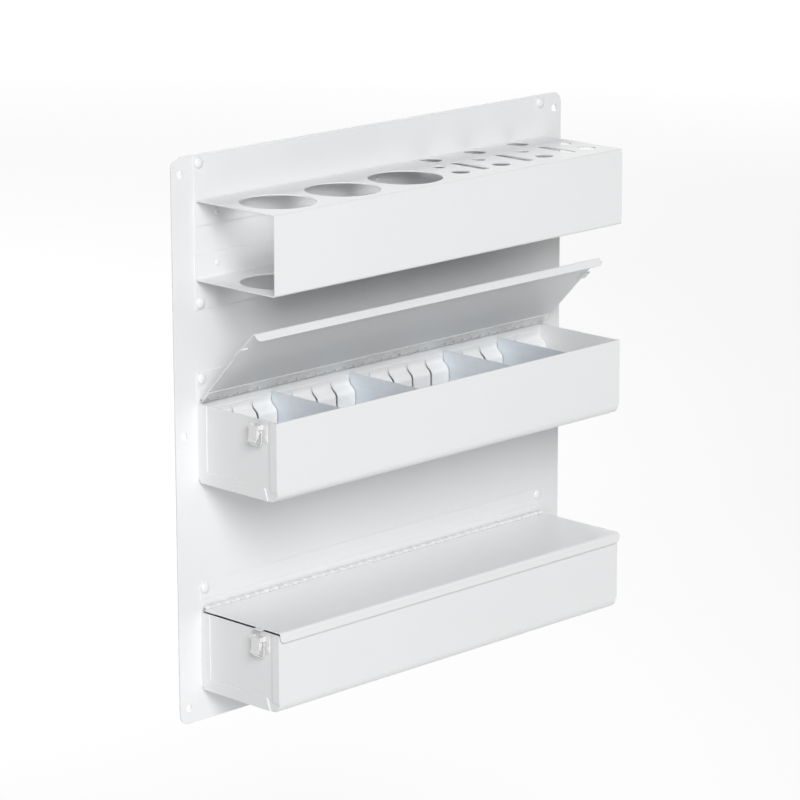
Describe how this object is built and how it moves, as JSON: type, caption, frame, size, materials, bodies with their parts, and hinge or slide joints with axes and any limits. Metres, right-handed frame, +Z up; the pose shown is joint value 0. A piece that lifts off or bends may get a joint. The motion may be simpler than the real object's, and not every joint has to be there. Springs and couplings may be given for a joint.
{
  "type": "van door organizer",
  "caption": "Wall panel for a van door with a perforated can and tool holder on top and two lidded parts bins below, each with a full length hinge, dividers and draw latches.",
  "frame": {"origin": "back face of the panel, at the centre of its four corner mounting holes", "axes": "+Z up, +X to the right seen from the front, -Y out of the panel towards the user"},
  "size_m": [0.527, 0.112, 0.546],
  "materials": {
    "panel_paint": "smooth white powder coat",
    "divider_zinc": "bright zinc plated sheet",
    "hinge_paint": "white painted hinge leaf",
    "pin_steel": "drawn wire",
    "latch_steel": "white painted pressed steel",
    "latch_wire": "bright plated spring wire"
  },
  "bodies": {
    "root": {"back_panel": "panel_paint", "holder_back_plate": "panel_paint", "holder_channel": "panel_paint", "holder_rivets": "panel_paint", "holder_bolts": "panel_paint", "mid_bin_tray": "panel_paint", "mid_bin_bolts": "panel_paint", "mid_bin_back_rail": "panel_paint", "mid_bin_front_rail": "panel_paint", "mid_bin_divider_1": "divider_zinc", "mid_bin_divider_2": "divider_zinc", "mid_bin_divider_3": "divider_zinc", "mid_bin_divider_4": "divider_zinc", "mid_bin_hinge_fixed_leaf": "hinge_paint", "mid_bin_hinge_pin": "pin_steel", "mid_bin_latch_pins": "latch_steel", "mid_bin_latch_rivets": "latch_steel", "mid_bin_left_end_plate": "panel_paint", "mid_bin_right_end_plate": "panel_paint", "mid_bin_left_latch_base": "latch_steel", "mid_bin_right_latch_base": "latch_steel", "lower_bin_tray": "panel_paint", "lower_bin_bolts": "panel_paint", "lower_bin_back_rail": "panel_paint", "lower_bin_front_rail": "panel_paint", "lower_bin_divider_1": "divider_zinc", "lower_bin_divider_2": "divider_zinc", "lower_bin_divider_3": "divider_zinc", "lower_bin_divider_4": "divider_zinc", "lower_bin_hinge_fixed_leaf": "hinge_paint", "lower_bin_hinge_pin": "pin_steel", "lower_bin_latch_pins": "latch_steel", "lower_bin_latch_rivets": "latch_steel", "lower_bin_left_end_plate": "panel_paint", "lower_bin_right_end_plate": "panel_paint", "lower_bin_left_latch_base": "latch_steel", "lower_bin_right_latch_base": "latch_steel"},
    "mid_lid": {"mid_bin_lid": "panel_paint", "mid_bin_hinge_moving_leaf": "hinge_paint", "mid_bin_keepers": "panel_paint"},
    "mid_bin_left_lever_body": {"mid_bin_left_lever": "latch_steel"},
    "mid_bin_left_bail_body": {"mid_bin_left_bail": "latch_wire"},
    "mid_bin_right_lever_body": {"mid_bin_right_lever": "latch_steel"},
    "mid_bin_right_bail_body": {"mid_bin_right_bail": "latch_wire"},
    "lower_lid": {"lower_bin_lid": "panel_paint", "lower_bin_hinge_moving_leaf": "hinge_paint", "lower_bin_keepers": "panel_paint"},
    "lower_bin_left_lever_body": {"lower_bin_left_lever": "latch_steel"},
    "lower_bin_left_bail_body": {"lower_bin_left_bail": "latch_wire"},
    "lower_bin_right_lever_body": {"lower_bin_right_lever": "latch_steel"},
    "lower_bin_right_bail_body": {"lower_bin_right_bail": "latch_wire"}
  },
  "joints": [
    {"name": "mid_lid_hinge", "type": "hinge", "parent": "root", "child": "mid_lid", "pos_m": [0, -0.0054, 0.0414], "axis": [-1, 0, 0], "range_deg": [-46, 42]},
    {"name": "mid_bin_left_lever_pivot", "type": "hinge", "parent": "root", "child": "mid_bin_left_lever_body", "pos_m": [-0.24, -0.0835, 0.031], "axis": [0, 1, 0], "range_deg": [0, 130]},
    {"name": "mid_bin_left_bail_pivot", "type": "hinge", "parent": "mid_bin_left_lever_body", "child": "mid_bin_left_bail_body", "pos_m": [-0.2385, -0.0835, 0.0275], "axis": [0, -1, 0], "range_deg": [-180.8, 0]},
    {"name": "mid_bin_right_lever_pivot", "type": "hinge", "parent": "root", "child": "mid_bin_right_lever_body", "pos_m": [0.24, -0.0835, 0.031], "axis": [0, -1, 0], "range_deg": [0, 130]},
    {"name": "mid_bin_right_bail_pivot", "type": "hinge", "parent": "mid_bin_right_lever_body", "child": "mid_bin_right_bail_body", "pos_m": [0.2385, -0.0835, 0.0275], "axis": [0, 1, 0], "range_deg": [-180.8, 0]},
    {"name": "lower_lid_hinge", "type": "hinge", "parent": "root", "child": "lower_lid", "pos_m": [0, -0.0054, -0.1621], "axis": [-1, 0, 0], "range_deg": [0, 88]},
    {"name": "lower_bin_left_lever_pivot", "type": "hinge", "parent": "root", "child": "lower_bin_left_lever_body", "pos_m": [-0.24, -0.0835, -0.1725], "axis": [0, 1, 0], "range_deg": [0, 130]},
    {"name": "lower_bin_left_bail_pivot", "type": "hinge", "parent": "lower_bin_left_lever_body", "child": "lower_bin_left_bail_body", "pos_m": [-0.2385, -0.0835, -0.176], "axis": [0, -1, 0], "range_deg": [-180.8, 0]},
    {"name": "lower_bin_right_lever_pivot", "type": "hinge", "parent": "root", "child": "lower_bin_right_lever_body", "pos_m": [0.24, -0.0835, -0.1725], "axis": [0, -1, 0], "range_deg": [0, 130]},
    {"name": "lower_bin_right_bail_pivot", "type": "hinge", "parent": "lower_bin_right_lever_body", "child": "lower_bin_right_bail_body", "pos_m": [0.2385, -0.0835, -0.176], "axis": [0, 1, 0], "range_deg": [-180.8, 0]}
  ]
}
